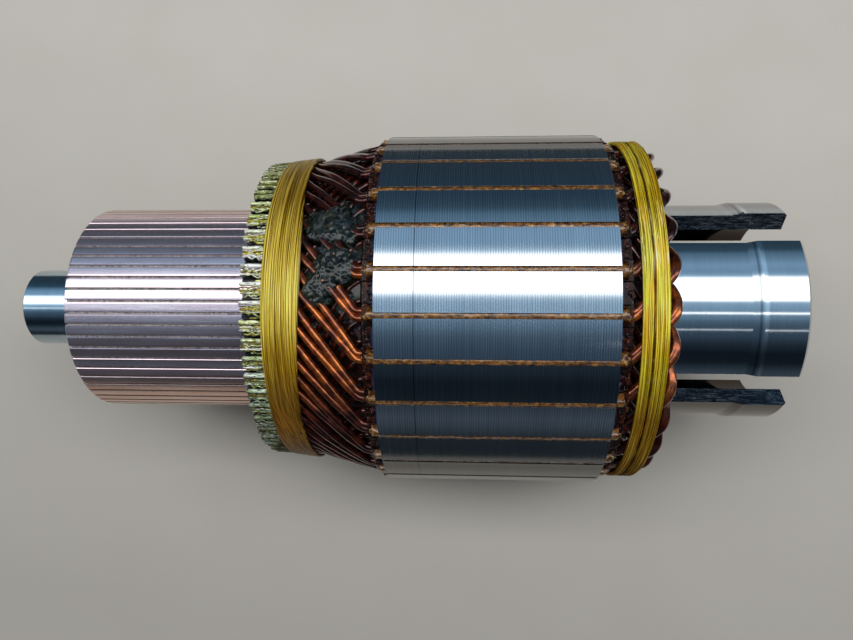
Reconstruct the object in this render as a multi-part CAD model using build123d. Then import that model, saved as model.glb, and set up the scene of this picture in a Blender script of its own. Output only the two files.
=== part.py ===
from build123d import *
import os
from math import cos, radians, sin, tan

# A wound armature of a direct current motor, lying on its side.
# X runs along the shaft from the commutator end to the drive end, and Z is up.
# Stations are measured from the tip of the commutator end journal. The finished
# model is moved so that its origin is on the axis, half way along its length.
# Angles are taken about the axis from +Y towards +Z.

# Shaft
journal_radius = 12.5
journal_length = 26.7
core_seat_radius = 15.0
shaft_chamfer = 0.8
centre_hole_radius = 3.2
centre_hole_depth = 6.0

# Commutator
bar_count = 58
bar_outer_radius = 32.6
bar_root_radius = 24.5
bar_length = 57.5
mica_thickness = 0.6
mica_undercut = 0.8
groove_angle = 84.8
hub_recess = 2.6

# Risers
riser_length = 5.8
riser_height = 15.0
riser_foot_width = 1.5
riser_top_width = 2.4

# Core
slot_count = 29
core_radius = 55.0
core_length = 62.0
short_stack_length = 10.2
slot_mouth = 1.5
slot_lip = 0.9
slot_top_width = 6.0
slot_bottom_width = 3.6
slot_depth = 14.0
slot_shoulder = 1.0

# Slot parts
wedge_overhang = 2.0
liner_thickness = 0.3
liner_overhang = 3.1

# End insulation
insulation_thickness = 3.2
insulation_drop = 2.5

# Left end winding, between the commutator and the core
left_band_width = 10.6
left_band_rise = 0.3
left_band_taper = 1.0
left_band_thickness = 1.1
open_winding_length = 17.4
wire_width = 1.6
wire_pair_angle = 1.9
wire_sweep_slots = 2
wire_exit_drop = 2.6
bed_clearance = 0.65

# Balancing putty on the left end winding
putty_angle = 82.0
putty_span = 32.0
putty_thickness = 1.5
putty_end_gap = 1.6
putty_clearance = 0.2

# Coil heads at both ends
coil_head_depth = 12.0

# Right end winding, at the drive end
right_band_gap = 2.4
right_band_width = 6.8
right_band_drop = 2.0
right_band_thickness = 0.9
nose_reach = 3.9
nose_width = 2.6
nose_drop = 3.4
nose_sweep_angle = 12.5
nose_turn_angle = 3.6
nose_bed_clearance = 0.45

# Drive jaws, a turned tube with four slots milled into its open end
jaw_count = 4
jaw_reach = 39.5
jaw_neck_radius = 33.4
jaw_land_radius = 34.15
jaw_land_length = 12.4
jaw_step_length = 3.0
jaw_bore_radius = 28.25
jaw_slot_width = 12.9
jaw_slot_start = 2.0
jaw_chamfer = 0.8
jaw_angle = 99.8

# General clearances, and how far a cutting tool runs past a face
seat_gap = 0.05
ring_clearance = 0.1
overshoot = 1.0

# Stations along the shaft
x_bar = journal_length
x_riser = x_bar + bar_length
x_left_band = x_riser + riser_length
x_left_band_end = x_left_band + left_band_width
x_left_insulation = x_left_band_end + open_winding_length
x_core = x_left_insulation + insulation_thickness
x_core_joint = x_core + short_stack_length
x_core_end = x_core + core_length
x_right_insulation_end = x_core_end + insulation_thickness
x_right_band = x_right_insulation_end + right_band_gap
x_right_band_end = x_right_band + right_band_width
x_nose_tip = x_right_band_end + nose_reach
x_web = x_right_band_end - nose_width / 2
x_jaw_slot = x_nose_tip + jaw_slot_start
x_jaw_end = x_nose_tip + jaw_reach
origin_station = x_jaw_end / 2

# Radii that follow from the sizes above
riser_radius = bar_outer_radius + riser_height
slot_floor_radius = core_radius - slot_depth
coil_head_bore = slot_floor_radius - coil_head_depth
lip_radius = core_radius - slot_lip
shoulder_radius = lip_radius - slot_shoulder
insulation_radius = core_radius - insulation_drop
left_band_start_radius = riser_radius + left_band_rise
left_band_end_radius = left_band_start_radius + left_band_taper
wire_exit_radius = core_radius - wire_exit_drop - wire_width / 2
right_band_radius = core_radius - right_band_drop
nose_radius = right_band_radius - right_band_thickness - ring_clearance - nose_width / 2

# Angles between repeated pieces. A tooth of the core points straight down, so the armature
# lies on a tooth.
bar_pitch = 360 / bar_count
slot_pitch = 360 / slot_count
jaw_pitch = 360 / jaw_count
slot_angle = 270 + slot_pitch / 2


def point(station, radius, angle):
    """A point at a station, a radius and an angle about the shaft."""
    return Vector(station, radius * cos(radians(angle)), radius * sin(radians(angle)))


def turned(outline):
    """The solid that a lathe makes from an outline of stations and radii."""
    face = Plane.XZ * make_face(Polyline(*outline, close=True))
    return revolve(face, Axis.X)


def rod(start, end, radius):
    """A plain round rod along the shaft, used as a blank or as a drill."""
    return turned([(start, 0), (start, radius), (end, radius), (end, 0)])


def around(piece, count, first_angle):
    """Copies of a piece that was made at angle 0, spread evenly about the shaft."""
    pitch = 360 / count
    return [Rot(X=first_angle + k * pitch) * piece for k in range(count)]


def prism(outline, start, end):
    """A bar along the shaft. The outline holds pairs of radius and offset to its side."""
    face = Plane.YZ.offset(start) * make_face(Polyline(*outline, close=True))
    return extrude(face, end - start)


def many_sided(start, end, start_radius, end_radius):
    """A prism or a frustum with a flat to every slot of the core, at the two radii."""
    corner_share = 1 / cos(radians(slot_pitch / 2))
    angles = [slot_angle + k * slot_pitch for k in range(slot_count)]
    left = [point(start, start_radius * corner_share, angle) for angle in angles]
    right = [point(end, end_radius * corner_share, angle) for angle in angles]
    outlines = [left, right]
    for k in range(slot_count):
        outlines.append([left[k - 1], left[k], right[k], right[k - 1]])
    return Solid(Shell([Face(Wire.make_polygon(outline)) for outline in outlines]))


def save(node, *pieces):
    """Move the pieces to the model's origin and write them as one node."""
    solids = []
    for piece in pieces:
        solids += (Pos(X=-origin_station) * piece).solids()
    shape = solids[0] if len(solids) == 1 else Compound(solids)
    export_step(shape, f"parts/{node}.step")


def make_shaft():
    """The commutator end journal with its centre hole, and the seat of all the rest."""
    hub_start = x_bar + hub_recess
    outline = [
        (0, 0),
        (0, journal_radius - shaft_chamfer),
        (shaft_chamfer, journal_radius),
        (hub_start, journal_radius),
        (hub_start, core_seat_radius),
        (x_web, core_seat_radius),
        (x_web, 0),
    ]
    return turned(outline) - rod(0, centre_hole_depth, centre_hole_radius)


def make_commutator_hub():
    """The moulded hub, with a flat for the root of every bar."""
    start = x_bar + hub_recess
    flats = RegularPolygon(bar_root_radius, bar_count, major_radius=False, rotation=groove_angle, align=None)
    body = extrude(Plane.YZ.offset(start) * flats, x_left_band - start)
    return body - rod(start, x_left_band, core_seat_radius)


def make_bars():
    """Copper bars with flat roots and a turned brush track, parted by the mica."""
    half_angle = radians(bar_pitch / 2)
    # The two sides of a bar run parallel to the middles of the mica plates beside it.
    apex = mica_thickness / 2 / sin(half_angle)
    top = bar_outer_radius + overshoot
    root_half = (bar_root_radius - apex) * tan(half_angle)
    top_half = (top - apex) * tan(half_angle)
    wedge = prism([(bar_root_radius, -root_half), (top, -top_half), (top, top_half),
                   (bar_root_radius, root_half)], x_bar, x_riser)
    return around(wedge & rod(x_bar, x_riser, bar_outer_radius), bar_count, groove_angle + bar_pitch / 2)


def make_mica():
    """The mica plates between the bars, cut back below the brush track."""
    half = mica_thickness / 2
    inner = bar_root_radius + seat_gap
    track = bar_outer_radius - mica_undercut
    start = x_bar + mica_thickness
    plate = prism([(inner, -half), (track, -half), (track, half), (inner, half)], start, x_riser)
    return around(plate, bar_count, groove_angle)


def make_risers():
    """Tapered copper flags behind the bars that carry the coil wires."""
    flag = prism([(bar_root_radius, -riser_foot_width / 2), (riser_radius, -riser_top_width / 2),
                  (riser_radius, riser_top_width / 2), (bar_root_radius, riser_foot_width / 2)],
                 x_riser, x_left_band)
    return around(flag, bar_count, groove_angle + bar_pitch / 2)


def body_width(radius):
    """Half the slot's width at a radius."""
    share = (radius - slot_floor_radius) / (shoulder_radius - slot_floor_radius)
    return (slot_bottom_width + share * (slot_top_width - slot_bottom_width)) / 2


def make_core(start, end):
    """A stack of laminations with their half closed slots."""
    disc = Circle(core_radius) - Circle(core_seat_radius)
    top = core_radius + slot_lip
    mouth = slot_mouth / 2
    wide = slot_top_width / 2
    narrow = slot_bottom_width / 2
    slot = make_face(Polyline((top, -mouth), (lip_radius, -mouth), (shoulder_radius, -wide),
                              (slot_floor_radius, -narrow), (slot_floor_radius, narrow),
                              (shoulder_radius, wide), (lip_radius, mouth), (top, mouth), close=True))
    for k in range(slot_count):
        disc -= Rot(Z=slot_angle + k * slot_pitch) * slot
    return extrude(Plane.YZ.offset(start) * disc, end - start)


def make_end_insulation(start):
    """An end plate with a tooth behind every tooth of the core, as deep as the coil heads."""
    end = start + insulation_thickness
    plate = many_sided(start, end, insulation_radius, insulation_radius)
    plate -= many_sided(start, end, coil_head_bore, coil_head_bore)
    top = core_radius + slot_lip
    wide = body_width(top)
    narrow = slot_bottom_width / 2
    slot = prism([(slot_floor_radius, -narrow), (top, -wide), (top, wide), (slot_floor_radius, narrow)],
                 start, end)
    for cutter in around(slot, slot_count, slot_angle):
        plate -= cutter
    return plate


def make_wedges():
    """Slot wedges that lock under the lips of the teeth."""
    top = lip_radius - seat_gap
    narrow = slot_mouth / 2 - seat_gap
    wide = slot_top_width / 2 - liner_thickness - 3 * seat_gap
    wedge = prism([(top, -narrow), (shoulder_radius, -wide), (shoulder_radius, wide), (top, narrow)],
                  x_core - wedge_overhang, x_core_end + wedge_overhang)
    return around(wedge, slot_count, slot_angle)


def make_liners():
    """Folded slot liners, open towards the mouth, that stand out at both ends."""
    top = shoulder_radius - seat_gap
    floor = slot_floor_radius + seat_gap
    inside = floor + liner_thickness
    outer_top = body_width(top) - seat_gap
    outer_low = body_width(floor) - seat_gap
    inner_top = outer_top - liner_thickness
    inner_low = outer_low - liner_thickness
    outline = [(top, -outer_top), (floor, -outer_low), (floor, outer_low), (top, outer_top),
               (top, inner_top), (inside, inner_low), (inside, -inner_low), (top, -inner_top)]
    liner = prism(outline, x_core - liner_overhang, x_core_end + liner_overhang)
    return around(liner, slot_count, slot_angle)


def make_coil_sides():
    """The coil sides that fill the slots between the liner and the wedge."""
    top = shoulder_radius - 2 * seat_gap
    floor = slot_floor_radius + liner_thickness + 2 * seat_gap
    inset = liner_thickness + 2 * seat_gap
    wide = body_width(top) - inset
    narrow = body_width(floor) - inset
    side = prism([(top, -wide), (floor, -narrow), (floor, narrow), (top, wide)],
                 x_left_insulation, x_right_insulation_end)
    return around(side, slot_count, slot_angle)


def left_wire_radius(station):
    """The radius of the middle of a top wire over the left end winding."""
    drop = left_band_thickness + wire_width / 2 + ring_clearance
    start = left_band_start_radius - drop
    end = left_band_end_radius - drop
    if station <= x_left_band_end:
        return start + (end - start) * (station - x_left_band) / left_band_width
    return end + (wire_exit_radius - end) * (station - x_left_band_end) / open_winding_length


def bent_wire(points, width):
    """A four-sided wire along straight runs between the points."""
    section = Plane(origin=points[0], z_dir=points[1] - points[0]) * RegularPolygon(width / 2, 4)
    return sweep(section, path=Polyline(*points), transition=Transition.RIGHT)


def make_left_wires():
    """Wires that leave the band in step with the risers and slant over the cone, two to a slot."""
    start = x_left_band_end - wire_width
    end = x_left_insulation - wire_width
    middle = (start + end) / 2
    wires = []
    for k in range(slot_count):
        pair_angle = groove_angle + (2 * k + 1) * bar_pitch
        nearest_slot = round((pair_angle - slot_angle) / slot_pitch)
        exit_slot = slot_angle + (nearest_slot + wire_sweep_slots) * slot_pitch
        for side in (-1, 1):
            riser_angle = pair_angle + side * bar_pitch / 2
            exit_angle = exit_slot + side * wire_pair_angle / 2
            wires.append(bent_wire([
                point(start, left_wire_radius(start), riser_angle),
                point(middle, left_wire_radius(middle), (riser_angle + exit_angle) / 2),
                point(end, left_wire_radius(end), exit_angle),
            ], wire_width))
    return wires


def make_left_band():
    """The taped glass band, slightly conical. Its inside follows the coils with a flat to each slot."""
    inner_start = left_band_start_radius - left_band_thickness
    inner_end = left_band_end_radius - left_band_thickness
    inside = many_sided(x_left_band, x_left_band_end, inner_start, inner_end)
    outside = turned([
        (x_left_band, 0),
        (x_left_band, left_band_start_radius),
        (x_left_band_end, left_band_end_radius),
        (x_left_band_end, 0),
    ])
    return outside - inside


def make_left_bed():
    """The ring of varnished coil heads under the wires, with a flat to each slot."""
    drop = wire_width / 2 + bed_clearance
    start = x_left_band + seat_gap
    end = x_left_insulation - seat_gap
    middle = x_left_band_end - wire_width
    middle_radius = left_wire_radius(middle) - drop
    under_band = many_sided(start, middle, left_wire_radius(start) - drop, middle_radius)
    open_part = many_sided(middle, end, middle_radius, left_wire_radius(end) - drop)
    return under_band + open_part - many_sided(start, end, coil_head_bore, coil_head_bore)


def make_putty():
    """A pad of balancing putty pressed over the top wires."""
    start = x_left_band_end + seat_gap
    end = x_left_insulation - putty_end_gap
    rise = wire_width / 2 + putty_clearance
    low = left_wire_radius(start) + rise
    high = left_wire_radius(end) + rise
    top = many_sided(start, end, low + putty_thickness, high + putty_thickness)
    under = many_sided(start, end, low, high)
    reach = 2 * core_radius
    side = reach * tan(radians(putty_span / 2))
    sector = prism([(0, 0), (reach, -side), (reach, side)], start, end)
    return (top & Rot(X=putty_angle) * sector) - under


def make_right_bed():
    """The ring of coil heads at the drive end, under the band and behind the noses."""
    flat = nose_radius - nose_width / 2 - nose_bed_clearance
    foot = flat - nose_drop - nose_bed_clearance
    start = x_right_insulation_end + seat_gap
    middle = x_right_band + nose_width / 2
    end = x_web - seat_gap
    body = many_sided(start, middle, flat, flat) + many_sided(middle, end, flat, foot)
    return body - many_sided(start, end, coil_head_bore, coil_head_bore)


def make_noses():
    """Coil noses: each loop leaves its slot, slants back under the band and turns inwards at its tip."""
    start = x_right_insulation_end + nose_width / 2
    tip = x_nose_tip - nose_width / 2
    noses = []
    for k in range(slot_count):
        angle = slot_angle + k * slot_pitch
        noses.append(bent_wire([
            point(start, nose_radius, angle),
            point(x_right_band_end, nose_radius, angle - nose_sweep_angle),
            point(tip, nose_radius - nose_drop, angle - nose_sweep_angle - nose_turn_angle),
        ], nose_width))
    return noses


def make_right_band():
    """The taped glass band over the drive end winding, with a flat inside to each coil."""
    inner = right_band_radius - right_band_thickness
    inside = many_sided(x_right_band, x_right_band_end, inner, inner)
    return rod(x_right_band, x_right_band_end, right_band_radius) - inside


def make_jaw_tube():
    """The turned cup that is welded to the end of the shaft, with four slots milled into it."""
    x_land = x_jaw_end - jaw_land_length
    blank = turned([
        (x_web, 0),
        (x_web, jaw_neck_radius),
        (x_land - jaw_step_length, jaw_neck_radius),
        (x_land, jaw_land_radius),
        (x_jaw_end - jaw_chamfer, jaw_land_radius),
        (x_jaw_end, jaw_land_radius - jaw_chamfer),
        (x_jaw_end, jaw_bore_radius),
        (x_jaw_slot, jaw_bore_radius),
        (x_jaw_slot, 0),
    ])
    half = jaw_slot_width / 2
    inner = jaw_bore_radius - half
    outer = jaw_land_radius + overshoot
    cutter = prism([(inner, -half), (outer, -half), (outer, half), (inner, half)],
                   x_jaw_slot, x_jaw_end + overshoot)
    for piece in around(cutter, jaw_count, jaw_angle + jaw_pitch / 2):
        blank -= piece
    return blank


os.makedirs("parts", exist_ok=True)
save("shaft", make_shaft())
save("commutator_hub", make_commutator_hub())
save("commutator_bars", *make_bars())
save("commutator_mica", *make_mica())
save("commutator_risers", *make_risers())
save("left_band", make_left_band())
save("left_coil_bed", make_left_bed())
save("left_top_wires", *make_left_wires())
save("balancing_putty", make_putty())
save("left_end_insulation", make_end_insulation(x_left_insulation))
save("core_short_stack", make_core(x_core, x_core_joint))
save("core_long_stack", make_core(x_core_joint, x_core_end))
save("slot_wedges", *make_wedges())
save("slot_liners", *make_liners())
save("coil_sides", *make_coil_sides())
save("right_end_insulation", make_end_insulation(x_core_end))
save("right_coil_bed", make_right_bed())
save("right_coil_noses", *make_noses())
save("right_band", make_right_band())
save("drive_jaw_tube", make_jaw_tube())
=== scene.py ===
import bpy
import random
from math import cos, degrees, exp, pi, radians, sin
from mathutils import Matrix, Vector, noise


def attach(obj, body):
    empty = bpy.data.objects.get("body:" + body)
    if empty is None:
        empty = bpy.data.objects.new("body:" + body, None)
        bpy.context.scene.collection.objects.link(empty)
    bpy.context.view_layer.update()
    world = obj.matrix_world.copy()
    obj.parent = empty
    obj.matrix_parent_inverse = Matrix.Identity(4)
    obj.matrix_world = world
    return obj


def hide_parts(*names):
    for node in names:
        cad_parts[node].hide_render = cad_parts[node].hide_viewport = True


# A motor armature, dressed in its own frame. X runs along the shaft from the commutator end to
# the drive end, Z is up, and +Y is up in the picture. Lengths are in millimetres. Angles about
# the shaft are in degrees from +Y towards +Z, as in the part's source.

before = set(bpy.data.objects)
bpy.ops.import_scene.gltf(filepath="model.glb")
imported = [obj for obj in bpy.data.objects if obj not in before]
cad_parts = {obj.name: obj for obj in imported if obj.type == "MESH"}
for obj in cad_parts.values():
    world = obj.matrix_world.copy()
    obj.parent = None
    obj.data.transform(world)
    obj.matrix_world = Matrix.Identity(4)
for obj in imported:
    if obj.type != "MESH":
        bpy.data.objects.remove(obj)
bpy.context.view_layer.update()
random.seed(29)

MM = 0.001

# Repeated pieces and their angles
SLOTS = 29
BARS = 58
SLOT_PITCH = 360 / SLOTS
BAR_PITCH = 360 / BARS
SLOT_ANGLE = 270 + SLOT_PITCH / 2
GROOVE_ANGLE = 84.8

# Stations along the shaft
X_BAR = -92.8
X_RISER = -35.3
X_LEFT_BAND = -29.5
X_LEFT_BAND_END = -18.9
X_LEFT_INSULATION = -1.5
X_CORE = 1.7
X_CORE_JOINT = 11.9
X_CORE_END = 63.7
X_RIGHT_INSULATION_END = 66.9
X_RIGHT_BAND = 69.3
X_RIGHT_SEAM = 72.2
X_WEB = 74.8
X_RIGHT_BAND_END = 76.1
X_JAW_STEP = 106.0
X_JAW_RING = 107.4

# Radii
BAR_RADIUS = 32.6
BAR_ROOT = 24.5
RISER_RADIUS = 47.6
LEFT_BAND_START_RADIUS = 47.9
LEFT_BAND_END_RADIUS = 48.9
RIGHT_BAND_RADIUS = 53.0
JAW_BORE = 28.25
COIL_HEAD_BORE = 31.0

# Where the left top wires' middles are, at the band and at the core
TOP_LAYER_START = 46.8
TOP_LAYER_END = 51.5

# The radii of the wires themselves
TOP_WIRE = 1.04
LEFT_DEEP_WIRE = 0.85
RIGHT_DEEP_WIRE = 0.9
NOSE_WIRE = 1.2

FLOOR_Z = -55.0

# The thickness of a lamination
LAMINATION = 0.65

# A pit in the left band: its station and its turn from the zenith in radians
X_PIT = -22.14
PIT_TURN = -1.0175


# Meshes

class Batch:
    """Points and faces of one piece, with a shade from 0 to 1 at every point."""

    def __init__(self):
        self.points = []
        self.faces = []
        self.shades = []

    def grid(self, rows, shade=0.5, close=False):
        """Faces between rows of points. Each row closes on itself where close is set."""
        base = len(self.points)
        width = len(rows[0])
        for row in rows:
            self.points += row
            self.shades += [shade] * width
        for i in range(len(rows) - 1):
            for j in range(width if close else width - 1):
                a = base + i * width + j
                b = base + i * width + (j + 1) % width
                self.faces.append((a, b, b + width, a + width))
        return base

    def bar(self, rows, shade):
        """A closed bar through rows of points, with flat ends."""
        base = self.grid(rows, shade, close=True)
        width = len(rows[0])
        self.faces.append(tuple(reversed(range(base, base + width))))
        last = base + (len(rows) - 1) * width
        self.faces.append(tuple(range(last, last + width)))

    def ring(self, outline, turns):
        """A body all round the shaft. The outline gives its points for a step and its angle."""
        rows = [outline(i, 360 * i / turns) for i in range(turns)]
        self.grid(rows + rows[:1], close=True)

    def tube(self, path, radius, sides, shade):
        """A round wire along a path."""
        rows = []
        for i, p in enumerate(path):
            before = path[max(i - 1, 0)]
            after = path[min(i + 1, len(path) - 1)]
            along = (after - before).normalized()
            side = along.cross(away_from_shaft(p)).normalized()
            up = side.cross(along)
            angles = [2 * pi * k / sides for k in range(sides)]
            rows.append([p + side * (radius * cos(a)) + up * (radius * sin(a)) for a in angles])
        self.bar(rows, shade)

    def blob(self, station, radius, angle, sizes, seed, shade, rings=8, sectors=12):
        """A lumpy rounded piece of resin. Its sizes are along, across and away from the shaft."""
        centre = at(station, radius, angle)
        up = away_from_shaft(centre)
        along = Vector((1, 0, 0))
        side = along.cross(up)
        rows = []
        for i in range(rings + 1):
            lat = pi * i / rings
            row = []
            for j in range(sectors):
                lon = 2 * pi * j / sectors
                d = Vector((cos(lat), sin(lat) * cos(lon), sin(lat) * sin(lon)))
                size = 1 + 0.45 * noise.noise(d * 1.6 + Vector((seed, 0, 0)))
                row.append(centre + (along * (d.x * sizes[0]) + side * (d.y * sizes[1])
                                     + up * (d.z * sizes[2])) * size)
            rows.append(row)
        self.grid(rows, shade, close=True)

    def piece(self, name, look, replaces=(), smooth=True):
        """Makes the object, which rides on the armature's one body and can replace CAD nodes."""
        mesh = bpy.data.meshes.new(name)
        mesh.from_pydata([tuple(c * MM for c in p) for p in self.points], [], self.faces)
        mesh.validate()
        values = mesh.attributes.new("shade", "FLOAT", "POINT")
        values.data.foreach_set("value", self.shades)
        mesh.polygons.foreach_set("use_smooth", [smooth] * len(mesh.polygons))
        mesh.materials.append(LOOKS[look])
        mesh.update()
        obj = bpy.data.objects.new(name, mesh)
        bpy.context.scene.collection.objects.link(obj)
        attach(obj, "root")
        if replaces:
            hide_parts(*replaces)


def at(station, radius, angle):
    """A point at a station, a radius and an angle about the shaft."""
    a = radians(angle)
    return Vector((station, radius * cos(a), radius * sin(a)))


def away_from_shaft(p):
    """The direction that points straight away from the shaft at a point."""
    return Vector((0, p.y, p.z)).normalized()


def wander(*coordinates):
    """Smooth noise from -1 to 1 at a place."""
    return noise.noise(Vector(list(coordinates) + [0.0] * (3 - len(coordinates))))


def limited(t):
    return min(max(t, 0.0), 1.0)


def smooth_step(t):
    t = limited(t)
    return t * t * (3 - 2 * t)


def curve_through(points, steps):
    """A smooth path through points, with steps between each two of them."""
    path = []
    last = len(points) - 1
    for i in range(last):
        a = points[max(i - 1, 0)]
        b = points[i]
        c = points[i + 1]
        d = points[min(i + 2, last)]
        for s in range(steps):
            t = s / steps
            path.append(0.5 * (2 * b + (c - a) * t + (2 * a - 5 * b + 4 * c - d) * t ** 2
                               + (3 * b - a - 3 * c + d) * t ** 3))
    path.append(points[-1])
    return path


# Materials

class Nodes:
    """Adds nodes to a tree. The methods return the new nodes' outputs."""

    def __init__(self, tree):
        self.tree = tree

    def plug(self, socket, value):
        """Links another node's output to a socket, or writes a plain value there."""
        if isinstance(value, bpy.types.NodeSocket):
            self.tree.links.new(value, socket)
        else:
            socket.default_value = value

    def node(self, kind, inputs=(), output=0, **settings):
        made = self.tree.nodes.new(kind)
        for key, value in settings.items():
            setattr(made, key, value)
        for key, value in inputs.items() if isinstance(inputs, dict) else enumerate(inputs):
            self.plug(made.inputs[key], value)
        return made.outputs[output]

    def math(self, operation, a, b=0.0):
        return self.node("ShaderNodeMath", (a, b), operation=operation)

    def plus(self, a, b):
        return self.math("ADD", a, b)

    def times(self, a, b):
        return self.math("MULTIPLY", a, b)

    def absolute(self, value):
        return self.math("ABSOLUTE", value)

    def away(self, value, centre):
        """How far a value is from a centre."""
        return self.absolute(self.math("SUBTRACT", value, centre))

    def vector(self, operation, a, b=(0.0, 0.0, 0.0), output=0):
        return self.node("ShaderNodeVectorMath", (a, b), output, operation=operation)

    def joined(self, x, y, z):
        return self.node("ShaderNodeCombineXYZ", (x, y, z))

    def fade(self, value, low, high, start=0.0, end=1.0):
        """From start to end while the value goes from low to high."""
        return self.node("ShaderNodeMapRange", (value, low, high, start, end), clamp=True)

    def mix(self, share, a, b):
        a, b = (c if isinstance(c, bpy.types.NodeSocket) else (*c, 1.0) for c in (a, b))
        return self.node("ShaderNodeMix", {0: share, 6: a, 7: b}, 2, data_type="RGBA")

    def tint(self, tone, colour, value, low, high, start, end):
        """The tone, mixed with a share of a colour that fades with a value."""
        return self.mix(self.fade(value, low, high, start, end), tone, colour)

    def ramp(self, value, stops):
        """A colour ramp. Each stop has a position from 0 to 1 and a colour."""
        made = self.tree.nodes.new("ShaderNodeValToRGB")
        self.plug(made.inputs[0], value)
        elements = made.color_ramp.elements
        while len(elements) < len(stops):
            elements.new(0.5)
        for element, (position, colour) in zip(elements, stops):
            element.position = position
            element.color = (*colour, 1.0)
        return made.outputs[0]


class Look(Nodes):
    """A material of the armature. Its place, x, y, z and radius are in millimetres, and its
    turn about the shaft is in radians from the zenith towards +Y. A pattern that is linked later
    takes the place of the plain value given here."""

    def __init__(self, name, base, rough, metal=0.0, **more):
        self.material = bpy.data.materials.new(name)
        self.material.use_nodes = True
        super().__init__(self.material.node_tree)
        self.set("Base Color", (*base, 1.0))
        self.set("Roughness", rough)
        self.set("Metallic", metal)
        for key, value in more.items():
            self.set(key.replace("_", " "), value)
        place = self.node("ShaderNodeTexCoord", output="Object")
        self.place = self.vector("MULTIPLY", place, (1 / MM, 1 / MM, 1 / MM))
        self.x, self.y, self.z = self.node("ShaderNodeSeparateXYZ", (self.place,)).node.outputs
        self.turn = self.math("ARCTAN2", self.y, self.z)
        squares = self.plus(self.times(self.y, self.y), self.times(self.z, self.z))
        self.radius = self.math("SQRT", squares)

    def set(self, name, value):
        self.plug(self.tree.nodes["Principled BSDF"].inputs[name], value)

    def around(self, along, turn, out=0.0):
        """A place for textures from the station, the turn about the shaft and the radius."""
        return self.joined(self.times(self.x, along), self.times(self.turn, turn),
                           self.times(self.radius, out))

    def scaled(self, x, y, z):
        return self.vector("MULTIPLY", self.place, (x, y, z))

    def noise(self, place, scale=1.0, detail=3.0, rough=0.5, twist=0.0, output=0):
        return self.node("ShaderNodeTexNoise", {
            "Vector": place, "Scale": scale, "Detail": detail, "Roughness": rough,
            "Distortion": twist}, output)

    def cells(self, place, scale):
        return self.node("ShaderNodeTexVoronoi", {"Vector": place, "Scale": scale}, "Distance")

    def with_painted_light(self, colour, stops):
        """The colour times a gain of painted light and shade, at most full white. Each stop has a
        height in the picture and the gain there. The ramp's colours go up to 1, so it holds shares
        of the top gain."""
        reach, top = 56.0, 2.6
        gain = self.ramp(self.fade(self.y, -reach, reach), [
            ((y + reach) / (2 * reach), tuple(g / top for g in gains)) for y, gains in stops])
        product = self.vector("MULTIPLY", colour, self.vector("MULTIPLY", gain, (top, top, top)))
        return self.vector("MINIMUM", product, (1.0, 1.0, 1.0))

    def bump(self, height, strength, distance):
        """Fine relief. The distance is in millimetres."""
        self.set("Normal", self.node("ShaderNodeBump", {
            "Height": height, "Strength": strength, "Distance": distance * MM}))


def turned_steel(name, base, dark, rough, lines, joint=None, sheet=None):
    """Steel with fine rings about the shaft. A joint is the station of a dark line, and sheet
    is the thickness of the laminations where they show."""
    look = Look(name, base, rough, 1.0)
    rings = look.noise(look.around(lines, 0.35), 1.0, 4.0, 0.7)
    broad = look.noise(look.around(0.12, 1.6), 1.0, 3.0, 0.5)
    pale = tuple(min(c * 1.25, 1) for c in base)
    tone = look.ramp(rings, [(0.3, dark), (0.5, base), (0.72, pale)])
    tone = look.tint(tone, dark, broad, 0.35, 0.7, 0.0, 0.35)
    if sheet:
        sway = look.times(look.noise(look.around(0.2, 0.5)), 2.0)
        wave = look.math("SINE", look.plus(look.times(look.x, 2 * pi / sheet), sway))
        tone = look.tint(tone, tuple(c * 0.45 for c in dark), wave, 0.2, 1.0, 0.0, 0.45)
    specks = look.cells(look.place, 1.3)
    tone = look.tint(tone, (0.85, 0.86, 0.88), specks, 0.05, 0.1, 0.5, 0.0)
    if sheet:
        # The laminations are browner and darker low on both sides: a painted brown reflection of
        # the shaded floor.
        upper = look.math("MINIMUM", look.fade(look.y, 36.5, 40.0, 0.0, 0.85),
                          look.fade(look.y, 44.0, 48.5, 0.85, 0.65))
        sides = look.plus(look.fade(look.y, -50.0, -41.0, 0.85, 0.0), upper)
        tone = look.mix(sides, tone, (0.115, 0.1, 0.085))
    if joint is not None:
        tone = look.tint(tone, (0.03, 0.035, 0.05), look.away(look.x, joint), 0.05, 0.16, 0.85, 0.0)
    look.set("Base Color", tone)
    look.set("Roughness", look.fade(rings, 0.2, 0.8, rough - 0.06, rough + 0.08))
    look.bump(rings, 0.35, 0.02)
    return look.material


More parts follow.
